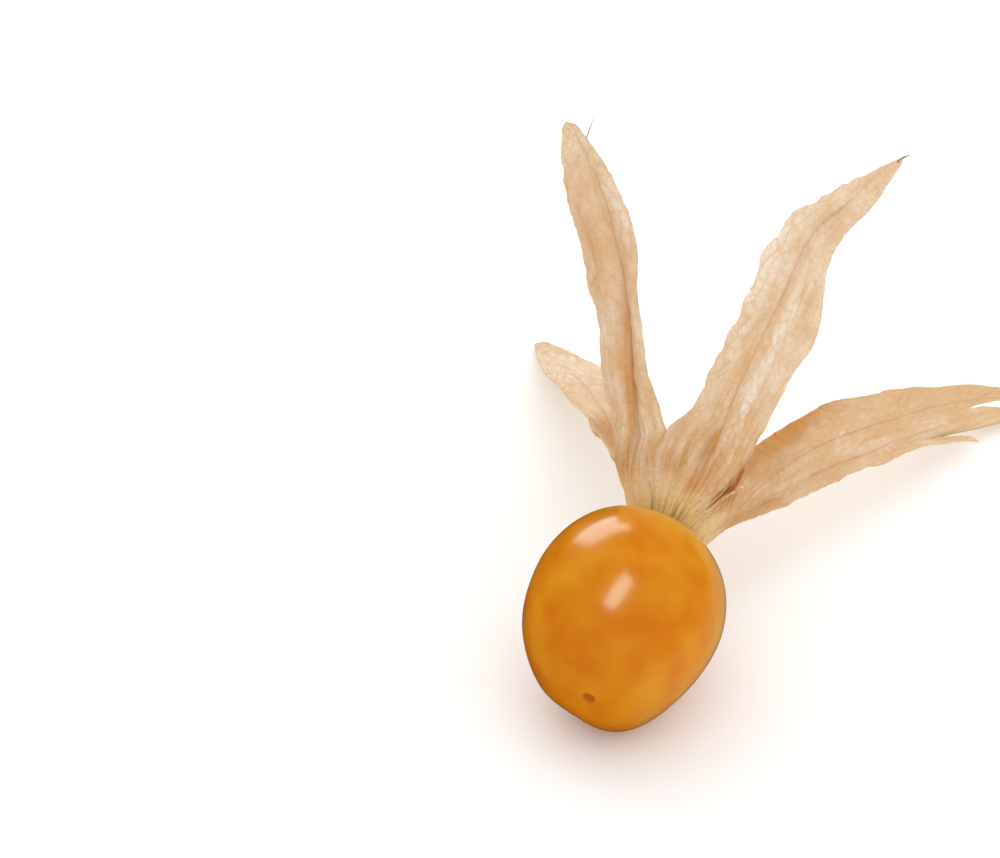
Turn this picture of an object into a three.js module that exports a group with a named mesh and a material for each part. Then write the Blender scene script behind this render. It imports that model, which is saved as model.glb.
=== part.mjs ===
// Cape gooseberry lying on its side, its papery husk torn into five lobes and folded back round the stalk.
// Millimetres, +Z up. The origin is on the small flat spot that the berry rests on, straight below its middle.
import * as THREE from "three";

// Driving dimensions of the berry
const BERRY_LENGTH = 21.1;
const BERRY_WIDTH = 18.9;
const BERRY_CENTRE_HEIGHT = 9.35;
const STALK_HEADING = 22;
const STALK_PITCH = 13;
const BERRY_COLUMNS = 40;
const BERRY_ROWS = [1, 2, 3, 4.2, 6, 9, 14, 20, 26, 32, 38, 44, 50, 56, 62, 68, 74, 80, 86, 92, 98, 104,
  110, 116, 122, 128, 134, 140, 146, 152, 158, 164, 170, 175];

// The scar that the flower left, as a small pit
const SCAR = { x: -0.343, y: -0.932, z: -0.12, share: -0.05, spread: 2.7 };

// Swells and flats of the berry: where they are, their height as a share of its radius, and their spread in degrees
const SWELLS = [
  { x: -0.16, y: -0.66, z: -0.74, share: 0.052, spread: 22 },
  { x: -0.47, y: -0.6, z: -0.65, share: -0.03, spread: 14 },
  { x: -0.7, y: -0.48, z: -0.53, share: 0.015, spread: 16 },
  { x: 0.85, y: -0.36, z: -0.4, share: -0.06, spread: 28 },
  { x: 0.56, y: -0.55, z: -0.62, share: -0.055, spread: 20 },
  { x: -0.3, y: 0.62, z: 0.68, share: 0.055, spread: 38 },
  { x: 0.62, y: 0.45, z: 0.64, share: 0.008, spread: 30 },
  { x: 0.366, y: 0.903, z: 0.225, share: -0.03, spread: 22 },
  SCAR,
];

// Driving dimensions of the husk
const HUSK_THICKNESS = 0.6;
const COLLAR_DISTANCE = 10.45;
const COLLAR_PROFILE = [[0.9, 0.72], [1.8, 0.62], [2.6, 0.38], [3.2, 0.18], [3.55, 0.34]];
const FUNNEL_LENGTH = 42;
const ROOT_SHARE = 0.22;
const LOBE_SPACING = 72;
const LOBE_COLUMNS = 10;
const LOBE_ROWS = 27;
const ROW_CROWDING = 1.15;
const TEAR_EASE = 0.03;

// Waves along a lobe's edges: how many, how far the edge swings up and down, and in and out as a share of the width
const WAVES = 5.5;
const WAVE_HEIGHT = 0.22;
const WAVE_NICK = 0.04;

// The five lobes, anticlockwise round the stalk. The spine runs from the collar through the points to the tip.
// Roll, half widths, cup and fold are spread evenly along the spine; end is how far each column reaches.
// Flare is how steeply the root leaves the stalk's line. joinedTo is how far along a lobe stays joined to the next.
const LOBES = [
  {
    angle: 352,
    flare: 26,
    spine: [[10.7, 12.6, 13.8], [14.8, 16.7, 14.1], [19.4, 21.1, 13.9], [25.1, 25.1, 13.3], [31.8, 28.5, 12.8],
      [40.2, 31.2, 11.6]],
    roll: [0, -10, -25, -30, -30, -25, -20],
    before: [2, 2.2, 2.2, 2.7, 3.2, 2.9, 2.2, 1.25, 0.4],
    after: [2, 2.2, 2.8, 3.1, 2.8, 2.3, 1.8, 0.9, 0.35],
    cup: [0, 1, 1, 1, 0.8, 0.4, 0],
    fold: [0, 0, 0.2, 0.2, 0.1, 0],
    end: [1, 1],
    joinedTo: 0.06,
  },
  {
    angle: 64,
    flare: 47,
    spine: [[8.2, 10.1, 21.1], [10.9, 13.6, 26.2], [14.3, 18.6, 30.7], [17.3, 23.8, 34.7], [21.4, 27.7, 37.2],
      [26.4, 31.9, 39.2]],
    roll: [0, 0],
    before: [2, 3.8, 3.5, 3.3, 3.4, 3.5, 2.6, 1.4, 0.2],
    after: [2, 2.9, 3.5, 3.8, 4.2, 2.9, 1.9, 1.7, 0.2],
    cup: [0, 1.2, 1, 0.8, 0.5, 0.4, 0],
    fold: [0, 0.3, 0.3, 0.2, 0.1, 0],
    end: [1, 1],
    joinedTo: 0.18,
  },
  {
    angle: 136,
    flare: 48,
    spine: [[1.3, 12.2, 19.7], [0.7, 17.5, 23.8], [-0.1, 24.3, 28.2], [-1.6, 31.9, 32.1], [-3.4, 38, 34.9],
      [-5.1, 42.4, 36.3]],
    roll: [0, 0],
    before: [2, 2, 2.3, 2.8, 2.9, 3.3, 3.1, 2.3, 0.7],
    after: [2, 3, 2.8, 2.1, 2.5, 3.3, 2.4, 1.2, 0.5],
    cup: [0, 1.4, 1.4, 1.2, 1, 0.5, 0],
    fold: [0, 0.8, 1.2, 1.2, 0.8, 0.4, 0],
    end: [0.99, 1, 0.97],
    joinedTo: 0.07,
  },
  {
    angle: 208,
    flare: 24,
    spine: [[1.2, 16.4, 12.2], [0.5, 24.4, 10.8], [-1.3, 32.8, 8.5], [-4.2, 42.2, 5.1], [-7.7, 53.6, 0.4]],
    roll: [0, -25, -45, -60, -60, -60],
    before: [2, 2.8, 3.3, 3.4, 3.4, 3.9, 4, 3.1, 0.6],
    after: [2, 2.2, 2.8, 3.1, 2.6, 2.6, 2.7, 2.1, 0.4],
    cup: [0, 0.8, 0.8, 0.6, 0.3, 0],
    fold: [0, 0],
    end: [1, 1],
    joinedTo: 0.07,
  },
  {
    angle: 280,
    flare: 24,
    spine: [[8.9, 15.9, 7.6], [14.4, 21.3, 7], [20.6, 26.4, 6.2], [27.1, 31.5, 5], [33.2, 36.1, 2.9],
      [41.2, 41.6, 1.2]],
    roll: [0, 25, 45, 50, 52, 55, 55],
    before: [2, 1.6, 1.8, 2.2, 2.2, 2.2, 2, 2.6, 3.6],
    after: [2, 2.8, 3.5, 3.8, 3.6, 3.2, 2.6, 1.9, 1.1],
    cup: [0, 1, 1, 0.6, 0.4, 0.2, 0],
    fold: [0, 0],
    end: [0.9, 0.94, 0.9, 0.86, 0.93, 0.99, 1, 0.95, 0.87],
    joinedTo: 0.08,
  },
];

// Driving dimensions of the stalk, measured along its own line from the berry's centre
const STALK_LINE = [[11.85, 0], [13.2, 0], [15.2, 0.25], [17.4, 0.9], [19.2, 1.9]];
const STALK_RADII = [1.35, 0.95, 0.72, 0.66, 0.66, 0.7];
const STALK_SIDES = 16;
const STALK_ROWS = 14;

const DEGREE = Math.PI / 180;
const centre = new THREE.Vector3(0, 0, BERRY_CENTRE_HEIGHT);
const heading = STALK_HEADING * DEGREE;
const pitch = STALK_PITCH * DEGREE;
const stalkWay = new THREE.Vector3(
  Math.sin(heading) * Math.cos(pitch),
  Math.cos(heading) * Math.cos(pitch),
  Math.sin(pitch),
);
const sideWay = new THREE.Vector3(Math.cos(heading), -Math.sin(heading), 0);
const upWay = new THREE.Vector3().crossVectors(sideWay, stalkWay);

// Smooth step from 0 to 1
function ease(x) {
  const t = THREE.MathUtils.clamp(x, 0, 1);
  return t * t * (3 - 2 * t);
}

// Value at share t of an evenly spaced list of numbers, by a smooth curve through them
function along(values, t) {
  const spans = values.length - 1;
  const place = THREE.MathUtils.clamp(t, 0, 1) * spans;
  const i = Math.min(Math.floor(place), spans - 1);
  const w = place - i;
  const first = i > 0 ? values[i - 1] : 2 * values[0] - values[1];
  const last = i < spans - 1 ? values[i + 2] : 2 * values[spans] - values[spans - 1];
  const slopeStart = (values[i + 1] - first) / 2;
  const slopeEnd = (last - values[i]) / 2;
  const rise = w * w * (3 - 2 * w);
  return values[i] * (1 - rise) + values[i + 1] * rise
    + slopeStart * w * (1 - w) ** 2 - slopeEnd * w * w * (1 - w);
}

// Direction square to the stalk at an angle round it
function aroundStalk(angle) {
  return sideWay.clone().multiplyScalar(Math.cos(angle)).addScaledVector(upWay, Math.sin(angle));
}

// Point at a distance along the stalk from the berry's centre, then out from it
function fromStalk(distance, out, angle) {
  return centre.clone().addScaledVector(stalkWay, distance).addScaledVector(aroundStalk(angle), out);
}

// Berry: an ellipsoid round the stalk's line with swells and flats, level where it rests
function berrySurface(way) {
  const lengthShare = way.dot(stalkWay) / (BERRY_LENGTH / 2);
  const widthShare = Math.sqrt(1 - way.dot(stalkWay) ** 2) / (BERRY_WIDTH / 2);
  let radius = 1 / Math.hypot(lengthShare, widthShare);
  let swell = 1;
  for (const { x, y, z, share, spread } of SWELLS) {
    const turn = way.angleTo(new THREE.Vector3(x, y, z)) / DEGREE;
    swell += share * Math.exp(-((turn / spread) ** 2));
  }
  radius *= swell;
  const point = centre.clone().addScaledVector(way, radius);
  point.z = Math.max(point.z, 0);
  return point;
}

// The berry's rows are circles round the scar, closer together near it
function buildBerry() {
  const pole = new THREE.Vector3(SCAR.x, SCAR.y, SCAR.z).normalize();
  const tilt = new THREE.Quaternion().setFromUnitVectors(new THREE.Vector3(0, 0, 1), pole);
  const points = [berrySurface(pole)];
  for (const row of BERRY_ROWS) {
    for (let i = 0; i < BERRY_COLUMNS; i++) {
      const angle = (i * 2 * Math.PI) / BERRY_COLUMNS;
      const across = Math.sin(row * DEGREE);
      const way = new THREE.Vector3(across * Math.cos(angle), across * Math.sin(angle), Math.cos(row * DEGREE));
      points.push(berrySurface(way.applyQuaternion(tilt)));
    }
  }
  points.push(berrySurface(pole.clone().negate()));
  return solidOfRings(points, BERRY_COLUMNS, BERRY_ROWS.length);
}

// Closed solid through a first point, rings of points anticlockwise as seen from outside the first, and a last point
function solidOfRings(points, sides, rings) {
  const faces = [];
  const last = points.length - 1;
  for (let i = 0; i < sides; i++) {
    const next = (i + 1) % sides;
    faces.push(0, 1 + i, 1 + next);
    for (let ring = 0; ring < rings - 1; ring++) {
      const near = 1 + ring * sides;
      const far = near + sides;
      faces.push(near + i, far + i, far + next);
      faces.push(near + i, far + next, near + next);
    }
    const end = 1 + (rings - 1) * sides;
    faces.push(end + i, last, end + next);
  }
  return geometryOf(points, faces);
}

function geometryOf(points, faces) {
  const geometry = new THREE.BufferGeometry().setFromPoints(points);
  geometry.setIndex(faces);
  geometry.computeVertexNormals();
  return geometry;
}

// Spine of a lobe, from its root on the collar to its tip
function spineOf(lobe) {
  const [rootRadius, rootRise] = COLLAR_PROFILE.at(-1);
  const root = fromStalk(COLLAR_DISTANCE + rootRise, rootRadius, lobe.angle * DEGREE);
  const points = [root, ...lobe.spine.map((place) => new THREE.Vector3(...place))];
  return new THREE.CatmullRomCurve3(points, false, "catmullrom", 0.5);
}

// Point of a lobe's middle sheet. u runs from -1 to 1 across it and t from 0 to 1 along it.
function lobeSurface(lobe, u, t) {
  const angle = lobe.angle * DEGREE;
  const share = t - (1 - along(lobe.end, (u + 1) / 2)) * t ** 6;
  const spine = spineOf(lobe);
  const place = spine.getPoint(share);
  const forward = spine.getPoint(Math.min(share + 0.01, 1)).sub(spine.getPoint(Math.max(share - 0.01, 0)));
  forward.normalize();

  const fromRoot = place.clone().sub(fromStalk(COLLAR_DISTANCE, 0, 0));
  const out = fromRoot.addScaledVector(stalkWay, -fromRoot.dot(stalkWay)).add(aroundStalk(angle));
  out.addScaledVector(forward, -out.dot(forward)).normalize();
  out.applyAxisAngle(forward, along(lobe.roll, share) * DEGREE);
  const across = new THREE.Vector3().crossVectors(forward, out);

  const wave = 2 * Math.PI * WAVES * share + Math.sign(u) + angle;
  const nick = 1 + WAVE_NICK * Math.cos(wave);
  const halfWidth = along(u < 0 ? lobe.before : lobe.after, share) * nick;
  const height = along(lobe.cup, share) * (1 - u * u)
    - along(lobe.fold, share) * Math.exp(-((u / 0.35) ** 2))
    + WAVE_HEIGHT * u * u * Math.sin(wave) * ease(share / ROOT_SHARE);
  place.addScaledVector(across, u * halfWidth).addScaledVector(out, height);

  const [rootRadius, rootRise] = COLLAR_PROFILE.at(-1);
  const flare = lobe.flare * DEGREE;
  const funnel = fromStalk(
    COLLAR_DISTANCE + rootRise + FUNNEL_LENGTH * share * Math.cos(flare),
    rootRadius + FUNNEL_LENGTH * share * Math.sin(flare),
    angle - (u * LOBE_SPACING * DEGREE) / 2,
  );
  return funnel.lerp(place, ease(share / ROOT_SHARE));
}

// The lobe's sheet with its edges drawn to its neighbours' as far as they are joined
function joinedSurface(index, u, t) {
  const lobe = LOBES[index];
  const point = lobeSurface(lobe, u, t);
  const neighbour = LOBES[(index + (u < 0 ? 1 : LOBES.length - 1)) % LOBES.length];
  const joinedTo = u < 0 ? lobe.joinedTo : neighbour.joinedTo;
  const hold = 1 - ease((t - joinedTo) / TEAR_EASE);
  if (u === 0 || hold === 0) return point;
  const edge = lobeSurface(lobe, Math.sign(u), t);
  const seam = edge.clone().add(lobeSurface(neighbour, -Math.sign(u), t)).multiplyScalar(0.5);
  return point.addScaledVector(seam.sub(edge), hold * ease(Math.abs(u)));
}

// Husk: one sheet from the middle of the collar out to the five tips, torn between the lobes, then thickened
function buildHusk() {
  const points = [fromStalk(COLLAR_DISTANCE + COLLAR_PROFILE[0][1], 0, 0)];
  const places = new Map();
  const vertex = (key, make) => {
    if (!places.has(key)) places.set(key, points.push(make()) - 1);
    return places.get(key);
  };
  const columns = LOBES.length * LOBE_COLUMNS;
  const faces = [];

  // Index of the point in a lobe's column and row. Rows below zero are the collar's.
  const at = (lobe, column, row) => {
    const turn = (lobe * LOBE_COLUMNS + column) % columns;
    const u = 1 - (2 * column) / LOBE_COLUMNS;
    if (row < 0) {
      const [radius, rise] = COLLAR_PROFILE[COLLAR_PROFILE.length - 1 + row];
      const angle = (LOBES[lobe].angle - (u * LOBE_SPACING) / 2) * DEGREE;
      return vertex(`collar ${turn} ${row}`, () => fromStalk(COLLAR_DISTANCE + rise, radius, angle));
    }
    const t = (row / LOBE_ROWS) ** ROW_CROWDING;
    const make = () => joinedSurface(lobe, u, t);
    const before = (lobe + LOBES.length - 1) % LOBES.length;
    if (column === 0 && t <= LOBES[before].joinedTo) return vertex(`seam ${before} ${row}`, make);
    if (column === LOBE_COLUMNS && t <= LOBES[lobe].joinedTo) return vertex(`seam ${lobe} ${row}`, make);
    return vertex(`lobe ${lobe} ${column} ${row}`, make);
  };

  for (let lobe = 0; lobe < LOBES.length; lobe++) {
    for (let column = 0; column < LOBE_COLUMNS; column++) {
      const firstRow = 1 - COLLAR_PROFILE.length;
      faces.push(0, at(lobe, column + 1, firstRow), at(lobe, column, firstRow));
      for (let row = firstRow; row < LOBE_ROWS; row++) {
        const a = at(lobe, column, row);
        const b = at(lobe, column + 1, row);
        const c = at(lobe, column + 1, row + 1);
        const d = at(lobe, column, row + 1);
        faces.push(a, b, c, a, c, d);
      }
    }
  }
  return thicken(points, faces, HUSK_THICKNESS);
}

// Closed solid of a sheet moved half its thickness each way, split into triangles alike on both faces and
// level where it rests
function thicken(points, faces, thickness) {
  const sheet = geometryOf(points, faces);
  const normals = sheet.getAttribute("normal");
  const shifted = (half) => points.map((point, i) => {
    const moved = point.clone().addScaledVector(new THREE.Vector3().fromBufferAttribute(normals, i), half);
    moved.z = Math.max(moved.z, 0);
    return moved;
  });
  const count = points.length;
  const solid = [...faces];
  const edges = new Map();
  for (let f = 0; f < faces.length; f += 3) {
    const [a, b, c] = faces.slice(f, f + 3);
    solid.push(a + count, c + count, b + count);
    for (const [from, to] of [[a, b], [b, c], [c, a]]) edges.set(`${from} ${to}`, [from, to]);
  }
  for (const [from, to] of edges.values()) {
    if (edges.has(`${to} ${from}`)) continue;
    solid.push(to, from, from + count);
    solid.push(to, from + count, to + count);
  }
  return geometryOf([...shifted(thickness / 2), ...shifted(-thickness / 2)], solid);
}

// Stalk: a round rod with a wide foot on the collar, bent a little upwards
function buildStalk() {
  const line = STALK_LINE.map(([distance, lift]) => fromStalk(distance, lift, Math.PI / 2));
  const curve = new THREE.CatmullRomCurve3(line, false, "catmullrom", 0.5);
  const points = [curve.getPoint(0)];
  for (let row = 0; row <= STALK_ROWS; row++) {
    const t = row / STALK_ROWS;
    const place = curve.getPoint(t);
    const forward = curve.getTangent(t);
    const right = sideWay.clone().addScaledVector(forward, -sideWay.dot(forward)).normalize();
    const up = new THREE.Vector3().crossVectors(right, forward);
    const radius = along(STALK_RADII, t);
    for (let i = 0; i < STALK_SIDES; i++) {
      const angle = (i * 2 * Math.PI) / STALK_SIDES;
      const rim = right.clone().multiplyScalar(Math.cos(angle)).addScaledVector(up, Math.sin(angle));
      points.push(place.clone().addScaledVector(rim, radius));
    }
  }
  points.push(curve.getPoint(1));
  return solidOfRings(points, STALK_SIDES, STALK_ROWS + 1);
}

const berryMaterial = new THREE.MeshStandardMaterial({ color: 0xd2800f, roughness: 0.3, metalness: 0 });
const huskMaterial = new THREE.MeshStandardMaterial({ color: 0xdfbd92, roughness: 0.8, metalness: 0 });
const stalkMaterial = new THREE.MeshStandardMaterial({ color: 0xa98a5b, roughness: 0.8, metalness: 0 });

const berry = new THREE.Mesh(buildBerry(), berryMaterial);
berry.name = "berry";

const husk = new THREE.Mesh(buildHusk(), huskMaterial);
husk.name = "husk";

const stalk = new THREE.Mesh(buildStalk(), stalkMaterial);
stalk.name = "stalk";

const physalis = new THREE.Group();
physalis.add(berry, husk, stalk);

export default physalis;
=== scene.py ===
import math

import bpy
import numpy as np
from mathutils import Matrix, Vector


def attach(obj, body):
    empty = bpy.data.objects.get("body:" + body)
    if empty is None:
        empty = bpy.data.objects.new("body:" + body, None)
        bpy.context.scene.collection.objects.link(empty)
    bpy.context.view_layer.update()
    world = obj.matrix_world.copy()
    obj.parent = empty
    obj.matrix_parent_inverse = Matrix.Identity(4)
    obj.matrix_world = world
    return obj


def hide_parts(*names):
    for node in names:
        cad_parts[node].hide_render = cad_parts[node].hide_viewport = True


# A cape gooseberry on its side, its papery husk torn into five lobes and folded back round the stalk.
# Lengths are in millimetres, angles in degrees. A texture's scale counts its cells in a metre, or in a
# millimetre of the husk's flat sheet.

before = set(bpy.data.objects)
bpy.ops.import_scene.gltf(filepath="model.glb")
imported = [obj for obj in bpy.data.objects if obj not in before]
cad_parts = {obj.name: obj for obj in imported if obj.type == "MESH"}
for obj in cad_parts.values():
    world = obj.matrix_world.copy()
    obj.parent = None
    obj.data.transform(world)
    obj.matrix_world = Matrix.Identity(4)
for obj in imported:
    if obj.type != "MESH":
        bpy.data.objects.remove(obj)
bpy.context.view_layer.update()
mm = 0.001


# Working tools: curves, noise and meshes from whole arrays

# Smooth step from 0 to 1
def eased(x):
    x = np.clip(x, 0, 1)
    return x * x * (3 - 2 * x)


# 1 in the middle, and e to the power of minus the square away from it
def bell(x):
    return np.exp(-x ** 2)


def unit(vectors):
    return vectors / np.maximum(np.linalg.norm(vectors, axis=-1, keepdims=True), 1e-12)


def dot(a, b):
    return np.sum(a * b, axis=-1, keepdims=True)


# Smooth curve through evenly spaced points: a cubic on each span, whose slope at a point is half the way from
# the point before it to the one after
def along(values, share):
    points = np.asarray(values, float)
    spans = len(points) - 1
    ends = np.concatenate([2 * points[:1] - points[1:2], points, 2 * points[-1:] - points[-2:-1]])
    place = np.clip(share, 0, 1) * spans
    first = np.minimum(place.astype(int), spans - 1)
    w = place - first
    if points.ndim > 1:
        w = w[..., None]
    rise = w * w * (3 - 2 * w)
    slopeStart = (ends[first + 2] - ends[first]) / 2
    slopeEnd = (ends[first + 3] - ends[first + 1]) / 2
    return (ends[first + 1] * (1 - rise) + ends[first + 2] * rise
            + slopeStart * w * (1 - w) ** 2 - slopeEnd * w * w * (1 - w))


# Smooth noise from -1 to 1: random heights on a square lattice, with a smooth step between the four nearest
def ripple(x, y, seed):
    heights = np.random.default_rng(seed).uniform(-1, 1, (97, 97))
    column, row = np.floor(x).astype(int), np.floor(y).astype(int)
    a, b = eased(x - column), eased(y - row)
    near = heights[column % 97, row % 97] * (1 - a) + heights[(column + 1) % 97, row % 97] * a
    far = heights[column % 97, (row + 1) % 97] * (1 - a) + heights[(column + 1) % 97, (row + 1) % 97] * a
    return near * (1 - b) + far * b


# Cells round jittered lattice points: the difference of a place's distances to the two nearest, 0 on the line
# between their cells
def cellLines(x, y, seed, jitter=0.42):
    draws = np.random.default_rng(seed).uniform(-jitter, jitter, (61, 61, 2))
    column, row = np.floor(x).astype(int), np.floor(y).astype(int)
    steps = [(i, j) for i in range(-2, 3) for j in range(-2, 3)]
    gaps = []
    for i, j in steps:
        c, r = column + i, row + j
        shift = draws[c % 61, r % 61]
        gaps.append(np.hypot(c + 0.5 + (r % 2) * 0.5 - 0.25 + shift[..., 0] - x, r + 0.5 + shift[..., 1] - y))
    gaps = np.sort(np.stack(gaps), axis=0)
    return gaps[1] - gaps[0]


# Mesh object from arrays of places, quads and triangles, with values kept on its points
def meshObject(name, places, quads, triangles=None, values=None, loopNormals=None):
    mesh = bpy.data.meshes.new(name)
    triangles = np.zeros((0, 3), int) if triangles is None else triangles
    corners = np.concatenate([quads.ravel(), triangles.ravel()])
    counts = np.concatenate([np.full(len(quads), 4), np.full(len(triangles), 3)])
    mesh.vertices.add(len(places))
    mesh.vertices.foreach_set("co", places.astype(np.float32).ravel())
    mesh.loops.add(len(corners))
    mesh.loops.foreach_set("vertex_index", corners.astype(np.int32))
    mesh.polygons.add(len(counts))
    mesh.polygons.foreach_set("loop_start", (np.cumsum(counts) - counts).astype(np.int32))
    mesh.polygons.foreach_set("use_smooth", np.ones(len(counts), bool))
    mesh.update(calc_edges=True)
    mesh.validate()
    for key, numbers in (values or {}).items():
        kept = mesh.attributes.new(key, "FLOAT_VECTOR", "POINT")
        kept.data.foreach_set("vector", numbers.astype(np.float32).ravel())
    if loopNormals is not None:
        mesh.normals_split_custom_set(loopNormals.astype(np.float32))
    piece = bpy.data.objects.new(name, mesh)
    bpy.context.scene.collection.objects.link(piece)
    return piece


# Quads of a grid of points, row by row. A closed grid joins its last column to its first.
def gridQuads(rows, columns, closed=False):
    index = np.arange(rows * columns).reshape(rows, columns)
    if closed:
        index = np.concatenate([index, index[:, :1]], axis=1)
    return np.stack([index[:-1, :-1], index[:-1, 1:], index[1:, 1:], index[1:, :-1]], -1).reshape(-1, 4)


# Faces of rings of points and then a point in the middle of each end: quads between the rings, and the end
# triangles
def tubeFaces(rings, sides):
    count = rings * sides
    ring = np.arange(sides)
    following = np.roll(ring, -1)
    last = count - sides
    caps = np.concatenate([
        np.stack([np.full_like(ring, count), ring, following], -1),
        np.stack([np.full_like(ring, count + 1), last + following, last + ring], -1),
    ])
    return gridQuads(rings, sides, closed=True)[:, ::-1], caps


# Rings of points round a line: its place plus the radius times the cosine of the angle to the right and its
# sine up
def ringsRound(line, forward, right, angle, radius):
    up = np.cross(right, forward)
    rays = np.cos(angle)[..., None] * right[:, None] + np.sin(angle)[..., None] * up[:, None]
    return line[:, None] + rays * radius[..., None]


# Angles of a number of points evenly round a circle, as one row
def evenTurns(count):
    return np.linspace(0, 2 * np.pi, count, endpoint=False)[None, :]


# Working tools: materials

# A colour as it looks on a screen, 0 to 255, as the shader's own numbers
def tint(red, green, blue):
    shares = np.array([red, green, blue]) / 255
    linear = np.where(shares <= 0.04045, shares / 12.92, ((shares + 0.055) / 1.055) ** 2.4)
    return (*map(float, linear), 1.0)


# A number that varies over a surface. Adding, subtracting and multiplying it add Math nodes.
class Varying:
    def __init__(self, paint, socket):
        self.paint = paint
        self.socket = socket

    def __add__(self, other):
        return self.paint.maths("ADD", self, other)

    def __sub__(self, other):
        return self.paint.maths("SUBTRACT", self, other)

    def __rsub__(self, other):
        return self.paint.maths("SUBTRACT", other, self)

    def __mul__(self, other):
        return self.paint.maths("MULTIPLY", self, other)

    __radd__, __rmul__ = __add__, __mul__


# One material being made. add() makes any node from its type, settings, and values or links of its sockets.
class Paint:
    def __init__(self, name, kind="materials"):
        self.material = getattr(bpy.data, kind).new(name)
        self.material.use_nodes = True
        self.tree = self.material.node_tree
        self.tree.nodes.clear()

    def add(self, kind, settings=None, sockets=None):
        node = self.tree.nodes.new("ShaderNode" + kind)
        for key, value in (settings or {}).items():
            setattr(node, key, value)
        for key, value in (sockets or {}).items():
            if isinstance(value, Varying):
                self.tree.links.new(value.socket, node.inputs[key])
            else:
                node.inputs[key].default_value = value
        return node

    def out(self, kind, settings=None, sockets=None, output=0):
        return Varying(self, self.add(kind, settings, sockets).outputs[output])

    def maths(self, operation, first, second):
        return self.out("Math", {"operation": operation}, {0: first, 1: second})

    def blend(self, share, first, second):
        return self.out("Mix", {"data_type": "RGBA"}, {0: share, 6: first, 7: second}, 2)

    # A colour under layers, from the lowest up: how much each covers, and the name of its colour in the look
    def layered(self, colour, look, layers):
        for share, name in layers:
            colour = self.blend(share, colour, look[name])
        return colour

    # Smooth step from start to stop while the value goes from low to high
    def between(self, value, low, high, start=0.0, stop=1.0):
        sockets = {"Value": value, "From Min": low, "From Max": high, "To Min": start, "To Max": stop}
        return self.out("MapRange", {"interpolation_type": "SMOOTHSTEP"}, sockets)

    def attribute(self, name):
        return self.out("Attribute", {"attribute_name": name}, output=1)

    def parts(self, vector):
        node = self.add("SeparateXYZ", sockets={0: vector})
        return [Varying(self, socket) for socket in node.outputs]

    def stretched(self, vector, scale, turn=(0, 0, 0)):
        return self.out("Mapping", sockets={"Vector": vector, "Scale": scale, "Rotation": turn})

    def noise(self, vector, scale, detail=3.0, roughness=0.5):
        sockets = {"Vector": vector, "Scale": scale, "Detail": detail, "Roughness": roughness}
        return self.out("TexNoise", sockets=sockets)

    def cells(self, vector, scale, feature="DISTANCE_TO_EDGE"):
        return self.out("TexVoronoi", {"feature": feature}, {"Vector": vector, "Scale": scale})

    def bump(self, height, look):
        strength, distance = look["bump"]
        return self.out("Bump", sockets={"Height": height, "Strength": strength, "Distance": distance * mm})

    # Surface whose roughness follows a noise over the look's range
    def surface(self, colour, noise, normal, look, others=None):
        low, high = (look["roughness"] + change for change in look["roughnessRange"])
        roughness = self.between(noise, 0.3, 0.7, low, high)
        sockets = {"Base Color": colour, "Roughness": roughness, "Normal": normal, **(others or {})}
        return self.out("BsdfPrincipled", sockets=sockets)

    def finish(self, surface, kind="OutputMaterial"):
        self.add(kind, sockets={"Surface": surface})
        return self.material


# Camera

camera = dict(
    pixelsPerMillimetre=10.7,  # at the berry
    distance=350, elevation=39, berryPixel=(625, 618), berryPlace=(0, 0, 9.35),
    pictureSize=(1000, 858), sensor=36,
)


def makeCamera(own):
    lift = math.radians(own["elevation"])
    right = Vector((1, 0, 0))
    forward = Vector((0, math.cos(lift), -math.sin(lift)))
    up = Vector((0, math.sin(lift), math.cos(lift)))
    aside = (own["berryPixel"][0] - own["pictureSize"][0] / 2) / own["pixelsPerMillimetre"]
    above = (own["pictureSize"][1] / 2 - own["berryPixel"][1]) / own["pixelsPerMillimetre"]
    place = Vector(own["berryPlace"]) - forward * own["distance"] - right * aside - up * above
    data = bpy.data.cameras.new("camera")
    data.sensor_width = own["sensor"]
    data.lens = own["sensor"] * own["pixelsPerMillimetre"] * own["distance"] / own["pictureSize"][0]
    data.clip_start = 0.01
    seer = bpy.data.objects.new("camera", data)
    seer.matrix_world = Matrix.Translation(place * mm) @ Matrix((right, up, -forward)).transposed().to_4x4()
    bpy.context.scene.collection.objects.link(seer)
    bpy.context.scene.camera = seer


makeCamera(camera)
print("camera placed")


# The stalk's line, which the berry and the husk are built round

stalkLine = dict(heading=22, pitch=13, berryCentre=(0, 0, 9.35))
heading, pitch = math.radians(stalkLine["heading"]), math.radians(stalkLine["pitch"])
centre = np.array(stalkLine["berryCentre"], float)
flatWay = np.array([math.sin(heading), math.cos(heading), 0.0])
stalkWay = flatWay * math.cos(pitch) + np.array([0, 0, math.sin(pitch)])
sideWay = np.array([math.cos(heading), -math.sin(heading), 0.0])
upWay = np.cross(sideWay, stalkWay)


# Places at a distance along the stalk's line from the berry's middle, then out from it at an angle round it
def fromStalk(distance, out, angle):
    ray = np.cos(angle)[..., None] * sideWay + np.sin(angle)[..., None] * upWay
    return centre + stalkWay * np.asarray(distance)[..., None] + ray * np.asarray(out)[..., None]


# Berry

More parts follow.
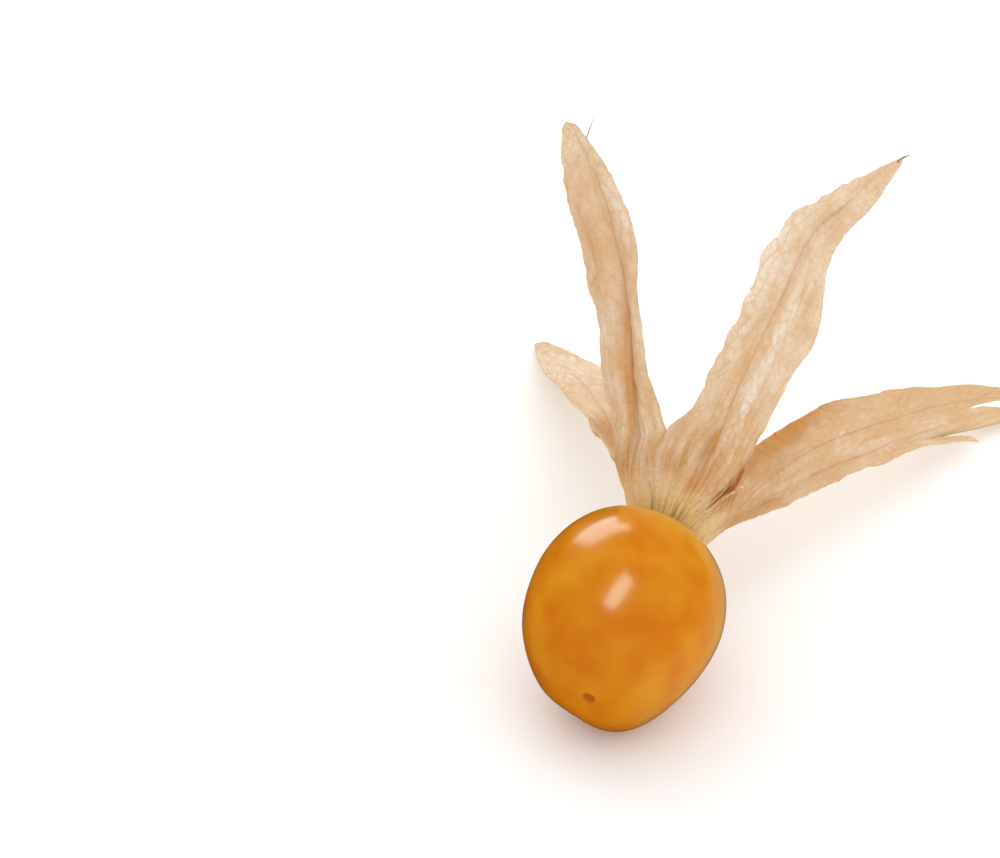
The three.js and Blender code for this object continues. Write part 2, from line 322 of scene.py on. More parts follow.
berry = dict(
    length=21.1, width=18.9, columns=300, rows=300,
    rowTurns=(0.25, 14, 165.5),  # first row, then the even and the growing steps in all
    rowsGrow=(0.12, 1.15),  # where the steps start to grow, and their power
    scar=(-0.343, -0.932, -0.12),
    swells=[  # way from the middle, share of the radius, spread
        ((-0.16, -0.66, -0.74), 0.052, 22),
        ((-0.47, -0.6, -0.65), -0.03, 14),
        ((-0.7, -0.48, -0.53), 0.015, 16),
        ((0.85, -0.36, -0.4), -0.06, 28),
        ((0.56, -0.55, -0.62), -0.055, 20),
        ((-0.3, 0.62, 0.68), 0.055, 38),
        ((0.62, 0.45, 0.64), 0.008, 30),
        ((0.366, 0.903, 0.225), -0.03, 22),
    ],
    pitDepth=0.42,
    pitRadius=3.3,  # degrees
    pitWall=(0.55, 0.62),  # its start and width, as shares of the radius
    rim=(0.05, 1.5, 1.3),  # height, place as a share of the radius, reach
    hollow=(0.16, 9),  # depth and reach
    lumpHeight=0.05, lumpScale=(2.4, 1.7),
)


# Angle in degrees between unit vectors and one direction
def turnFrom(ways, direction):
    direction = np.asarray(direction, float) / np.linalg.norm(direction)
    return np.degrees(np.arccos(np.clip(ways @ direction, -1, 1)))


# An ellipsoid's distance round the stalk's line in each direction, times one plus a bell for each swell, less
# a hollow and a steep pit at the scar, plus the pit's rim and soft lumps, and never under the floor
def berrySkin(own, ways):
    lengthShare = ways @ stalkWay
    widthShare = np.sqrt(np.maximum(1 - lengthShare ** 2, 0))
    radius = 1 / np.hypot(lengthShare / (own["length"] / 2), widthShare / (own["width"] / 2))
    swell = 1 + sum(share * bell(turnFrom(ways, way) / spread) for way, share, spread in own["swells"])
    turn = turnFrom(ways, own["scar"])
    pit, (start, wide) = own["pitRadius"], own["pitWall"]
    dent = own["pitDepth"] * (1 - eased((turn - pit * start) / (pit * wide)))
    height, place, reach = own["rim"]
    rim = height * bell((turn - pit * place) / reach)
    depth, reach = own["hollow"]
    hollow = depth * bell(turn / reach)
    level, steep = own["lumpScale"]
    slope = ways[..., 1] * level + ways[..., 2] * steep
    lumps = own["lumpHeight"] * ripple(ways[..., 0] * level + 7, slope + 9, seed=3)
    places = centre + ways * (radius * swell - dent + rim - hollow + lumps)[..., None]
    places[..., 2] = np.maximum(places[..., 2], 0)
    return places


# Rows are circles round the scar: close together near it, then wider apart, out to its far side
def makeBerry(own):
    pole = unit(np.array(own["scar"]))
    side = unit(np.cross(pole, [0, 0, 1]))
    other = np.cross(pole, side)
    step = np.linspace(0, 1, own["rows"])
    first, even, growing = own["rowTurns"]
    start, power = own["rowsGrow"]
    turn = first + even * step + growing * np.maximum(step - start, 0) ** power / (1 - start) ** power
    turn = np.radians(turn)[:, None]
    angle = evenTurns(own["columns"])
    ways = (np.cos(turn)[..., None] * pole
            + (np.sin(turn) * np.cos(angle))[..., None] * side
            + (np.sin(turn) * np.sin(angle))[..., None] * other)
    ends = berrySkin(own, np.stack([pole, -pole]))
    places = np.concatenate([berrySkin(own, ways).reshape(-1, 3), ends])
    return meshObject("berrySkin", places * mm, *tubeFaces(own["rows"], own["columns"]))


berryLook = dict(
    deep=tint(202, 109, 0), amber=tint(208, 124, 0), golden=tint(213, 138, 0),
    pale=tint(228, 166, 50), shoulder=tint(212, 160, 14), pitFloor=tint(180, 90, 0),
    broadScale=95.0, patchScale=330.0, seedScale=420.0, speckScale=1100.0, grainScale=1600.0,
    seedShare=0.3, speckShare=0.04,
    dot=(-0.104, -0.879, -0.466),  # way to a pale dot beside the scar
    shoulderAt=10.4,  # along the stalk's line
    # Colours of the shoulder, scar and dot: how far off each starts and is full, and its share there
    fades=[(12.5, 4.5, 0.85), (0.85, 0.4, 0.7), (0.26, 0.08, 0.6)],
    roughness=0.21, roughnessRange=(-0.02, 0.03), coat=0.3, coatRoughness=0.15, ior=1.42, subsurface=0.12,
    subsurfaceRadius=(1.0, 0.42, 0.12), subsurfaceScale=1.6,
    bump=(0.12, 0.3),  # strength and distance
)


def berryMaterial(look, scar, paleDot):
    paint = Paint("berrySkin")
    place = paint.out("TexCoord", output=3)
    broad = paint.noise(place, look["broadScale"], 2.0, 0.45)
    patches = paint.noise(place, look["patchScale"], 3.0, 0.4)
    seeds = paint.cells(place, look["seedScale"], "SMOOTH_F1")
    specks = paint.noise(place, look["speckScale"], 2.0)
    tone = paint.between(broad * 0.4 + patches * 0.6, 0.3, 0.7)
    layers = [
        (paint.between(seeds, 0.2, 0.8) * look["seedShare"], "amber"),
        (paint.between(specks, 0.62, 0.8) * look["speckShare"], "pale"),
    ]
    # Paler and greener round the stalk, darker in the scar, and the dot beside it
    shoulder = (centre + stalkWay * look["shoulderAt"]) * mm
    fades = zip((shoulder, scar, paleDot), look["fades"], ("shoulder", "pitFloor", "pale"))
    for spot, (start, full, share), name in fades:
        away = paint.out("VectorMath", {"operation": "DISTANCE"}, {0: place, 1: tuple(spot)}, 1)
        layers.append((paint.between(away, start * mm, full * mm) * share, name))
    colour = paint.layered(paint.blend(tone, look["deep"], look["golden"]), look, layers)
    grain = paint.noise(place, look["grainScale"], 2.0)
    normal = paint.bump(patches * 0.5 + seeds * 0.3 + grain * 0.05, look)
    return paint.finish(paint.surface(colour, patches, normal, look, {
        "IOR": look["ior"],
        "Subsurface Weight": look["subsurface"],
        "Subsurface Radius": look["subsurfaceRadius"],
        "Subsurface Scale": look["subsurfaceScale"] * mm,
        "Coat Weight": look["coat"],
        "Coat Roughness": look["coatRoughness"],
    }))


berryPiece = makeBerry(berry)
scarPlace, dotPlace = berrySkin(berry, unit(np.array([berry["scar"], berryLook["dot"]])))
berryPiece.data.materials.append(berryMaterial(berryLook, scarPlace * mm, dotPlace * mm))
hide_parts("berry")
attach(berryPiece, "root")
print("berry made")


# Husk: one sheet round the stalk, in five lobes that stay joined at the collar

husk = dict(
    thickness=0.13, columns=112, rows=300,
    columnCrowding=0.25,  # towards the edges
    rowCrowding=1.12,  # power that draws the rows towards the collar
    tipPower=4,  # how late the rows start to follow a lobe's end
    collarDistance=10.45,
    collarProfile=[(0.5, 0.76), (0.9, 0.72), (1.8, 0.62), (2.6, 0.38), (3.2, 0.18), (3.55, 0.34)],
    collarRows=3,  # on each span
    collarDrop=0.42,  # nearer to the berry than the solid's
    collarFlat=0.63,  # half a lobe's width there, as a share of the radius
    funnelLength=42, rootShare=0.22, spacing=72, tearEase=0.06,
    squeeze=(172, 45, 0.17),  # where it is narrower, how far round, and by what share
    waves=5.5, waveHeight=0.16, waveNick=0.01,
    jags=[(1.7, 0.16), (0.75, 0.10), (0.33, 0.05)],  # spacing and depth of the edge's nicks
    bites=(0.9, 0.22),  # spacing and depth of its steps
    jagsFade=(0.92, 0.08),  # where both fade out, and over what share
    creaseReach=0.35,
    crumples=[(5.2, 0.22), (2.3, 0.10), (0.95, 0.03)],  # spacing and height
    folds=[(1.3, 12, 0.07), (0.6, 8, 0.035), (0.3, 6, 0.015)],  # spacing, reach and height
    foldGather=(1.6, 0.4),  # how much higher at the collar, and how far along that ends
    netSize=(2.0, 3.2),  # a cell of the vein net, across and along
    netBend=(2.2, 0.6, 0.8),  # spacing of its bends, their size across and along
    netArch=0.6,  # how far along it moves for each step to the side
    netLine=0.07,  # half a vein's width, in cells
    netDepth=0.12, facetSize=(0.95, 1.5), facetDepth=0.06, ribWidth=0.15, ribWander=0.35,
    creaseShift=3,  # how far aside a crease of 1 is
    sideRibWidth=0.045,  # as a share of the half width
    sideRibShare=0.55,  # of the middle rib's height
    ribHeight=0.06, strandCount=97, strandSway=0.5,
    strandRun=40,  # their run along a whole lobe
    strands=[(1, 8, 0.5), (2, 6, 0.5), (3, 5, 0.35)],  # times that count, reach and height
    strandDepth=0.13,
    fibres=(10, 0.12),  # radius of their noise's ring, and its stretch along the lobe
    patchEdges=[(0.5, 0.9, 1.6), (0.4, 0.4, 0.8)],  # how ragged, and the spacing across and along
    floorGap=0.004,
)

# The five lobes, anticlockwise round the stalk. Lists run evenly from the collar to the tip, apart from
# "end", which runs across the lobe and says how far along each part of it ends. Half widths, "lifts" (how
# far the edge rises off the sheet) and "torn" (how ragged it is) have a list for each side. "crease" is
# where the middle rib lies, from -1 to 1 across. Patches are (across, along, half sizes, paler, warmer).
# Some darker patches are painted shade: along a curled edge, in a fold's channel, in the slit between two
# lobes, and where one lobe lies over another.
lobes = [
    dict(
        name="lobeRight", angle=352, flare=26,
        spine=[(10.7, 12.6, 13.8), (14.8, 16.7, 14.1), (19.4, 21.1, 13.9), (25.1, 25.1, 13.3),
               (31.8, 28.5, 12.8), (40.2, 31.2, 11.6)],
        roll=[0, -10, -25, -30, -30, -25, -20],
        halfWidths=([2, 2.2, 2.2, 2.7, 3.2, 2.9, 2.2, 1.25, 0.45],
                    [2, 2.2, 2.8, 3.1, 2.8, 2.3, 2.1, 1.15, 0.35]),
        cup=[0, 1, 1, 1, 0.8, 0.4, 0], fold=[0, 0, 0.2, 0.2, 0.1, 0], end=[1, 1], joinedTo=0.06,
        crease=[0, 0.1, 0.1, 0.05, 0], ribs=[-0.55, 0.5],
        lifts=([0, -1, -1, -0.5, 0.3, 0.5, 0.1, 0, 0], [0, 0]), torn=([0.2, 0.4, 0.4], [0.6, 0.6]),
        tan=0.12,
        # The two patches on the next line are painted shade: along the curled upper edge, and a painted
        # shadow in the slit beside lobeUpRight
        patches=[(-1, 0.4, 0.4, 0.16, -1.1, 0.9), (-0.95, 0.13, 0.35, 0.045, -2.8, 1.2),
                 (-0.2, 0.32, 0.8, 0.14, -0.5, 0.2), (0, 0.85, 1, 0.12, 0.2, 0.15),
                 (0.1, 0.07, 0.7, 0.05, -0.5, 0), (0.88, 0.23, 0.25, 0.12, -0.5, 0.2)],
    ),
    dict(
        name="lobeUpRight", angle=64, flare=47,
        spine=[(8.2, 10.1, 21.1), (10.9, 13.6, 26.2), (14.3, 18.6, 30.7), (17.3, 23.8, 34.7),
               (21.4, 27.7, 37.2), (26.4, 31.9, 39.2)],
        roll=[0, 0],
        halfWidths=([2, 5.5, 3.4, 3.2, 3.4, 3.5, 2.6, 1.4, 0.15],
                    [2, 2.9, 3.5, 3.8, 4.2, 2.9, 1.9, 1.7, 0.15]),
        cup=[0, 1.2, 1, 0.8, 0.5, 0.4, 0], fold=[0, 0.3, 0.3, 0.2, 0.1, 0], end=[1, 1], joinedTo=0.165,
        crease=[0, 0, -0.05, -0.05, 0], ribs=[-0.5, 0.42],
        lifts=([0, 0, 0.2, 0.3, 0], [0, 0.6, 0.3, 0, -0.3, 0, 0]),
        torn=([0, 0, 0.2, 1, 1.3, 1.1, 1, 0.6, 0.2], [0.3, 0.3]),
        tan=0.0,
        patches=[(-0.85, 0.6, 0.38, 0.2, 1.2, 0), (0.27, 0.34, 0.13, 0.12, 1.3, 0),
                 (0.2, 0.52, 0.14, 0.08, 1.2, 0), (-0.05, 0.6, 0.16, 0.16, -0.25, 0.4),
                 (-0.15, 0.19, 0.13, 0.05, -0.9, 0.4), (-0.05, 0.08, 0.34, 0.032, -0.1, 1.1),
                 (-0.25, 0.36, 0.26, 0.14, -0.25, 0.5), (0.1, 0.17, 0.4, 0.06, -0.25, 0.6),
                 (0.3, 0.75, 0.4, 0.08, -0.1, 0.3), (0.85, 0.4, 0.2, 0.2, -0.1, 0),
                 # The two patches on the next line are a painted shadow in the slit beside lobeRight
                 (0.85, 0.098, 0.16, 0.034, -3.2, 1.4), (0.97, 0.155, 0.12, 0.022, -3, 1.2),
                 (0.5, 0.85, 0.8, 0.1, 0.4, 0.1), (-0.95, 0.06, 0.3, 0.06, 0.8, -0.6),
                 (0.5, 0.07, 0.16, 0.05, 0.9, -0.4), (-0.6, 0.33, 0.3, 0.1, 0.3, 0)],
    ),
    dict(
        name="lobeUp", angle=136, flare=48,
        spine=[(1.3, 12.2, 19.7), (0.7, 17.5, 23.8), (-0.1, 24.3, 28.2), (-1.6, 31.9, 32.1), (-3.4, 38, 34.9),
               (-5.1, 42.4, 36.3)],
        roll=[0, 0],
        halfWidths=([2, 2, 2.3, 2.8, 2.9, 3.3, 3.1, 2.3, 0.7],
                    [2, 3.4, 2.8, 2.1, 2.5, 3.3, 2.4, 1.35, 0.5]),
        cup=[0, 1.4, 1.4, 1.2, 1, 0.5, 0], fold=[0, 0.8, 1.2, 1.2, 0.8, 0.4, 0],
        end=[0.99, 1, 0.97], joinedTo=0.07,
        crease=[0, 0.15, 0.1, 0.3, 0.3, 0.3, 0.2, 0.1, 0], ribs=[-0.5, 0.75],
        lifts=([0, 0, 0.2, 0.3, 0], [0, 0.2, 0.4, 0.3, 0]), torn=([0.2, 0.5, 0.4], [0.3, 0.4, 0.3]),
        tan=0.05,
        # The second patch on the next line is partly painted shade in the channel of the middle fold
        patches=[(0.2, 0.24, 0.25, 0.12, -0.45, 0.3), (0.33, 0.45, 0.18, 0.16, -0.55, 0.4),
                 (-0.4, 0.6, 0.4, 0.15, -0.4, 0.6), (0.15, 0.75, 0.12, 0.12, -0.5, 0.2),
                 (-0.05, 0.75, 0.12, 0.12, 0.35, 0), (0.7, 0.68, 0.4, 0.14, 0.8, 0),
                 (0, 0.93, 1.2, 0.08, 0.8, 0), (0.7, 0.2, 0.25, 0.07, 0.2, 0),
                 (-0.6, 0.15, 0.3, 0.06, -0.5, 0.3), (0.05, 0.38, 0.26, 0.13, -0.4, 0.9),
                 (0.9, 0.06, 0.5, 0.06, 0.8, -0.6)],
    ),
    dict(
        name="lobeBackLeft", angle=208, flare=24,
        spine=[(1.2, 16.4, 12.2), (0.5, 24.4, 10.8), (-1.3, 32.8, 8.5), (-4.2, 42.2, 5.1), (-7.7, 53.6, 0.4)],
        roll=[0, -25, -45, -60, -60, -60],
        halfWidths=([2, 2.8, 3.3, 3.4, 3.4, 3.9, 4, 3.1, 0.6],
                    [2, 2.2, 2.8, 3.5, 2.6, 2.6, 2.7, 2.1, 0.4]),
        cup=[0, 0.8, 0.8, 0.6, 0.3, 0], fold=[0, 0], end=[1, 1], joinedTo=0.07,
        crease=[0, 0], ribs=[-0.5, 0.5],
        lifts=([0, 0], [0, 0]), torn=([0.1, 0.1], [0.3, 0.1]),
        tan=0.06,
        patches=[(0, 0.85, 1.5, 0.2, 0.9, -0.2), (0.2, 0.5, 0.8, 0.1, -0.8, 0.5),
                 (0, 0.3, 1, 0.2, -0.6, 0.4)],
    ),
    dict(
        name="lobeLowRight", angle=280, flare=24,
        spine=[(8.9, 15.9, 7.6), (14.4, 21.3, 7), (20.6, 26.4, 6.2), (27.1, 31.5, 5), (33.2, 36.1, 2.9),
               (41.2, 41.6, 1.2)],
        roll=[0, 25, 45, 50, 52, 55, 55],
        halfWidths=([2, 1.6, 1.8, 2.2, 2.2, 2.2, 1.9, 2.4, 7],
                    [2, 2.8, 3.5, 3.8, 3.6, 3.2, 2.6, 1.9, 1.1]),
        cup=[0, 1, 1, 0.6, 0.4, 0.2, 0], fold=[0, 0],
        end=[0.89, 0.89, 0.885, 0.87, 0.85, 0.835, 0.95, 1, 1, 0.995, 0.99, 0.985, 0.98, 0.98, 0.975, 0.97,
             0.96],
        joinedTo=0.08,
        crease=[0, 0], ribs=[-0.5, 0.5],
        lifts=([0, 0], [0, 0]), torn=([0.5, 0.3], [0.4, 0.4]),
        tan=0.06,
        patches=[(-0.3, 0.33, 0.5, 0.08, -0.5, 0.8), (-0.9, 0.3, 0.3, 0.12, 0.3, 0.1),
                 # The second patch on the next line is painted shade where lobeRight's lower edge lies over
                 # this lobe
                 (-0.3, 0.65, 0.6, 0.16, 0.3, 0), (0.3, 0.3, 0.6, 0.2, -0.7, 0.7),
                 (0, 0.075, 1.1, 0.065, -0.75, 0)],
    ),
]


# Share of its radius that the collar has at an angle round the stalk
def collarShare(angle):
    place, reach, share = husk["squeeze"]
    away = (np.degrees(angle) - place + 180) % 360 - 180
    return 1 - share * bell(away / reach)


# A value along a lobe that has its own list on each side
def bySide(u, lists, share):
    return np.where(u < 0, along(lists[0], share), along(lists[1], share))


# Middle of a lobe's sheet for u from -1 to 1 across it and t from 0 to 1 along it: a spine through the
# lobe's points, then u times the half width to the side and a cupped, waved height off it. Near its root it
# turns into a funnel round the stalk. Also gives the place on the flat sheet, across and along, and the
# angle round the stalk.
def lobeSheet(lobe, u, t):
    angle = math.radians(lobe["angle"])
    share = t - (1 - along(lobe["end"], (u + 1) / 2)) * t ** husk["tipPower"]
    rootRadius, rootRise = husk["collarProfile"][-1]
    root = fromStalk(husk["collarDistance"] + rootRise, rootRadius, np.array(angle))
    spine = np.vstack([root, lobe["spine"]])
    place = along(spine, share)
    forward = unit(along(spine, np.minimum(share + 0.01, 1)) - along(spine, np.maximum(share - 0.01, 0)))

    ray = sideWay * math.cos(angle) + upWay * math.sin(angle)
    fromRoot = place - (centre + stalkWay * husk["collarDistance"])
    out = fromRoot - dot(fromRoot, stalkWay) * stalkWay + ray
    out = unit(out - dot(out, forward) * forward)
    roll = np.radians(along(lobe["roll"], share))[..., None]
    out = out * np.cos(roll) + np.cross(forward, out) * np.sin(roll)
    across = np.cross(forward, out)

    length = np.linalg.norm(np.diff(along(spine, np.linspace(0, 1, 60)), axis=0), axis=1).sum()
    side = np.sign(u)
    free = eased(share / husk["rootShare"])
    wave = 2 * np.pi * husk["waves"] * share + side + angle
    halfWidth = bySide(u, lobe["halfWidths"], share) * (1 + husk["waveNick"] * np.cos(wave))
    seed = lobe["angle"]
    jag = sum(depth * ripple(share * length / gap, side * 3 + 11, seed + i)
              for i, (gap, depth) in enumerate(husk["jags"]))
    gap, depth = husk["bites"]
    jag = jag - depth * eased(ripple(share * length / gap, side * 3 + 15, seed + 9) * 6 - 1.5)
    fadeAt, fadeOver = husk["jagsFade"]
    jag = jag * bySide(u, lobe["torn"], share) * (1 - eased((t - fadeAt) / fadeOver))
    aside = u * halfWidth + side * u ** 6 * jag * free
    crease = along(lobe["crease"], share)
    height = (along(lobe["cup"], share) * (1 - u * u)
              - along(lobe["fold"], share) * bell((u - crease) / husk["creaseReach"])
              + husk["waveHeight"] * u * u * np.sin(wave) * free + bySide(u, lobe["lifts"], share) * u ** 4)
    blade = place + across * aside[..., None] + out * height[..., None]

    flare = math.radians(lobe["flare"])
    funnelAngle = angle - u * math.radians(husk["spacing"]) / 2
    funnelOut = rootRadius * collarShare(funnelAngle) + husk["funnelLength"] * share * math.sin(flare)
    funnel = fromStalk(husk["collarDistance"] + rootRise + husk["funnelLength"] * share * math.cos(flare),
                       funnelOut, funnelAngle)
    points = funnel + (blade - funnel) * free[..., None]
    flatAtCollar = u * funnelOut * husk["collarFlat"]
    flatAcross = np.where(free > 0.5, aside, aside * free * 2 + flatAtCollar * (1 - free * 2))
    return points, flatAcross, t * length, funnelAngle


# A lobe's sheet with its edges drawn to the middle between it and the neighbour as far as they are joined,
# after the collar's rows, which are rings round the stalk
def joinedSheet(index):
    lobe = lobes[index]
    following, previous = lobes[(index + 1) % 5], lobes[index - 1]
    t = (np.linspace(0, 1, husk["rows"]) ** husk["rowCrowding"])[:, None]
    u = np.linspace(-1, 1, husk["columns"] + 1)
    u = (u * (1 + husk["columnCrowding"] * (1 - u * u)))[None, :]
    points, flatAcross, flatAlong, ring = lobeSheet(lobe, u + t * 0, t + u * 0)
    for side, neighbour, joinedTo in ((-1, following, lobe["joinedTo"]), (1, previous, previous["joinedTo"])):
        hold = 1 - eased((t - joinedTo) / husk["tearEase"])
        edge = lobeSheet(lobe, side + t * 0, t)[0]
        seam = (edge + lobeSheet(neighbour, -side + t * 0, t)[0]) / 2
        pull = hold * eased(np.abs(u)) * (np.sign(u) == side)
        points = points + (seam - edge) * pull[..., None]
    profile = np.array(husk["collarProfile"], float)
    steps = np.linspace(0, 1, (len(profile) - 1) * husk["collarRows"] + 1)[:-1]
    radius, rise = along(profile, steps).T[..., None]
    angle = math.radians(lobe["angle"]) - u * math.radians(husk["spacing"]) / 2 + radius * 0
    collar = fromStalk(husk["collarDistance"] + rise + angle * 0, radius * collarShare(angle), angle)
    collarAlong = radius - profile[-1, 0] + u * 0
    t = np.concatenate([np.zeros_like(radius), t])
    return dict(
        points=np.concatenate([collar, points]),
        u=u + t * 0,
        t=t + u * 0,
        across=np.concatenate([u * radius * husk["collarFlat"], flatAcross]),
        along=np.concatenate([collarAlong, flatAlong]),
        ring=np.concatenate([angle, ring]),
    )


# Normals of a grid: the cross product of the ways along rows and up columns, which counts more the squarer
# they are, plus a little of its mean over nearby columns, which takes over where a notch makes slivers
def gridNormals(points, reach=7, share=0.03):
    sideways, upwards = unit(np.gradient(points, axis=1)), unit(np.gradient(points, axis=0))
    normals = np.cross(sideways, upwards)
    normals = normals * np.linalg.norm(normals, axis=-1, keepdims=True)
    columns = np.arange(points.shape[1])
    nearby = range(-reach, reach + 1)
    beside = sum(normals[:, np.clip(columns + step, 0, columns[-1])] for step in nearby) / len(nearby)
    return unit(normals + share * beside)


# Ribs of a lobe, from 0 to 1: a bell across its wandering middle line, and narrower ones along its side
# ribs, which draw in and fade out towards the tip
def huskRibs(lobe, sheet):
    x, y, u, t = sheet["across"], sheet["along"], sheet["u"], sheet["t"]
    seed = lobe["angle"]
    wander = husk["ribWander"] * ripple(y / 5, x * 0 + 3, seed + 20) * eased(t / 0.2)
    away = x - along(lobe["crease"], t) * husk["creaseShift"] - wander
    ribs = bell(away / husk["ribWidth"]) * (1 - 0.5 * eased((t - 0.7) / 0.3))
    for place in lobe["ribs"]:
        sway = 0.06 * ripple(y / 5, x * 0 + 5, seed + int(place * 100))
        side = place * (0.8 + 0.2 * np.cos(t * 2.2)) + sway
        beside = husk["sideRibShare"] * bell((u - side) / husk["sideRibWidth"])
        ribs = np.maximum(ribs, beside * (1 - eased((t - 0.6) / 0.3)))
    return ribs


# Strands at the collar: noise round the stalk at several spacings, stretched along it and swaying a little,
# that fades in over the collar and out again up the lobe
def collarStrands(sheet):
    y, t = sheet["along"], sheet["t"]
    run = t * husk["strandRun"] + np.minimum(y, 0)
    turn = sheet["ring"] / (2 * np.pi) * husk["strandCount"]
    turn = turn + husk["strandSway"] * ripple(turn, run / 4 + 20, 71)
    strands = sum(height * ripple(turn * times, run / reach + 20, 72 + times)
                  for times, reach, height in husk["strands"])
    return strands * (eased((y + 3.4) / 2.6) * (1 - eased((t - 0.03) / 0.25)))


# How far each place lies off the smooth sheet: ridged noise as creases and as long folds that gather towards
# the collar, panes puffed up between the lines of a bent net and of a finer one, less the ribs, and the
# collar's strands. Also how much each place shows of the veins, of the strands and of the small panes.
def huskRelief(lobe, sheet):
    x, y, u, t = sheet["across"], sheet["along"], sheet["u"], sheet["t"]
    seed = lobe["angle"]
    spacing, bendAcross, bendAlong = husk["netBend"]
    bendX = x + bendAcross * ripple(x / spacing, y / spacing, seed + 21)
    bendY = y + bendAlong * ripple(x / spacing + 9, y / spacing + 4, seed + 22) + husk["netArch"] * np.abs(x)
    lines = cellLines(bendX / husk["netSize"][0] + 20, bendY / husk["netSize"][1] + 20, seed + 23)
    net = bell(lines / husk["netLine"]) * (0.45 + 0.55 * eased(0.5 + ripple(x / 3, y / 3, seed + 24)))
    ribs = huskRibs(lobe, sheet)
    veins = np.clip(np.maximum(net * 0.8 * eased(t / 0.12), ribs * eased(t / 0.05)), 0, 1)

    creases = sum(height * (1 - 2 * np.abs(ripple(x / gap, y / (gap * 1.7), seed + 30 + i)))
                  for i, (gap, height) in enumerate(husk["crumples"]))
    bent = x + 0.5 * ripple(x / 3, y / 5, seed + 41)
    folds = sum(height * (1 - 2 * np.abs(ripple(bent / gap + 30, y / reach + 30, seed + 50 + i)))
                for i, (gap, reach, height) in enumerate(husk["folds"]))
    higher, until = husk["foldGather"]
    gathered = 1 - eased(t / until)
    puffs = np.minimum(lines, 0.7) - 0.35
    facetLines = cellLines(bendX / husk["facetSize"][0] + 9, bendY / husk["facetSize"][1] + 9, seed + 25)
    facets = np.minimum(facetLines, 0.6) - 0.3
    # Smooth at the collar and along the joined borders, so that the neighbours still meet there
    atSeam = np.where(t < 0.25, eased((np.abs(u) - 0.4) / 0.6), 0) * (1 - eased((t - 0.04) / 0.2))
    loose = eased(t / 0.1) * (1 - atSeam)
    strands = collarStrands(sheet)
    depth = (loose * (creases * (1 - 0.65 * gathered) + folds * (1 + higher * gathered)
                      + husk["netDepth"] * puffs + husk["facetDepth"] * facets - husk["ribHeight"] * ribs)
             + husk["strandDepth"] * strands)
    return depth, veins, strands, eased((facets + 0.3) / 0.35)


# How much paler (or darker, below 0) and how much warmer the lobe's patches make each place: a bell for
# each, with a ragged edge. Some darker ones are painted shade: along a curled edge, in a fold's channel, in
# the slit between two lobes and where one lobe lies over another. The pale ones show most in the middle of
# the small panes.
def huskTone(lobe, sheet):
    light, warm = np.zeros_like(sheet["u"]), np.zeros_like(sheet["u"])
    rough = sum(share * ripple(sheet["across"] / wide, sheet["along"] / long, 81 + i)
                for i, (share, wide, long) in enumerate(husk["patchEdges"]))
    for across, share, halfAcross, halfAlong, paler, warmer in lobe["patches"]:
        away = ((sheet["u"] - across) / halfAcross) ** 2 + ((sheet["t"] - share) / halfAlong) ** 2
        patch = np.exp(-away * (1 + 0.5 * rough))
        light += paler * patch * (1 if paler < 0 else 0.3 + 0.7 * sheet["panes"])
        warm += warmer * patch
    return light, warm


# Closed thin solid of a sheet: both faces, and a rim round its border
def thinSolid(name, points, normals, thickness, values):
    rows, columns = points.shape[:2]
    count = rows * columns
    faces = [points + normals * thickness / 2, points - normals * thickness / 2]
    places = np.concatenate([face.reshape(-1, 3) for face in faces])
    places[:, 2] = np.maximum(places[:, 2], husk["floorGap"])
    index = np.arange(count).reshape(rows, columns)
    border = np.concatenate([index[0, :-1], index[:-1, -1], index[-1, :0:-1], index[:0:-1, 0]])
    following = np.roll(border, -1)
    top = gridQuads(rows, columns)
    bottom = top[:, ::-1] + count
    rim = np.stack([following, border, border + count, following + count], -1)
    rimWays = unit(np.cross(places[rim[:, 1]] - places[rim[:, 0]], places[rim[:, 2]] - places[rim[:, 1]]))
    flat = normals.reshape(-1, 3)
    loopNormals = np.concatenate([flat[top].reshape(-1, 3), -flat[top[:, ::-1]].reshape(-1, 3),
                                  np.repeat(rimWays, 4, axis=0)])
    doubled = {key: np.concatenate([grid.reshape(-1, 3)] * 2) for key, grid in values.items()}
    return meshObject(name, places * mm, np.concatenate([top, bottom, rim]), None, doubled, loopNormals)


# Where two lobes are joined, their borders take the mean of both normals
def shareNormals(sheets):
    for i, sheet in enumerate(sheets):
        following = sheets[(i + 1) % 5]
        joined = (sheet["t"][:, 0] <= lobes[i]["joinedTo"])[:, None]
        mean = unit(sheet["normals"][:, 0] + following["normals"][:, -1])
        sheet["normals"][:, 0] = np.where(joined, mean, sheet["normals"][:, 0])
        following["normals"][:, -1] = np.where(joined, mean, following["normals"][:, -1])


# Each sheet drawn down at the collar, moved off itself by its relief, and made solid with what its material
# needs. The sheets keep their finished points and normals.
def makeHusk(sheets):
    finished = []
    for sheet in sheets:
        drop = husk["collarDrop"] * (1 - eased(sheet["t"] / 0.1))
        sheet["points"] = sheet["points"] - drop[..., None] * stalkWay
        sheet["normals"] = gridNormals(sheet["points"])
    shareNormals(sheets)
    for lobe, sheet in zip(lobes, sheets):
        depth, sheet["veins"], sheet["strands"], sheet["panes"] = huskRelief(lobe, sheet)
        sheet["points"] = sheet["points"] + sheet["normals"] * depth[..., None]
        sheet["normals"] = gridNormals(sheet["points"])
    shareNormals(sheets)
    for lobe, sheet in zip(lobes, sheets):
        ring, run = sheet["ring"], sheet["t"] * husk["strandRun"] + np.minimum(sheet["along"], 0)
        apart = np.full_like(ring, lobe["angle"] * 0.7)  # gives each lobe its own part of the noise
        fibreRing, fibreRun = husk["fibres"]
        values = {
            "sheet": np.stack([sheet["across"], sheet["along"], apart], -1),
            "marks": np.stack([sheet["veins"], sheet["t"], sheet["strands"]], -1),
            "tone": np.stack([*huskTone(lobe, sheet), 0 * ring], -1),
            "fibres": np.stack([fibreRing * np.cos(ring), fibreRing * np.sin(ring), run * fibreRun], -1),
        }
        finished.append(thinSolid(lobe["name"], sheet["points"], sheet["normals"], husk["thickness"], values))
    return finished


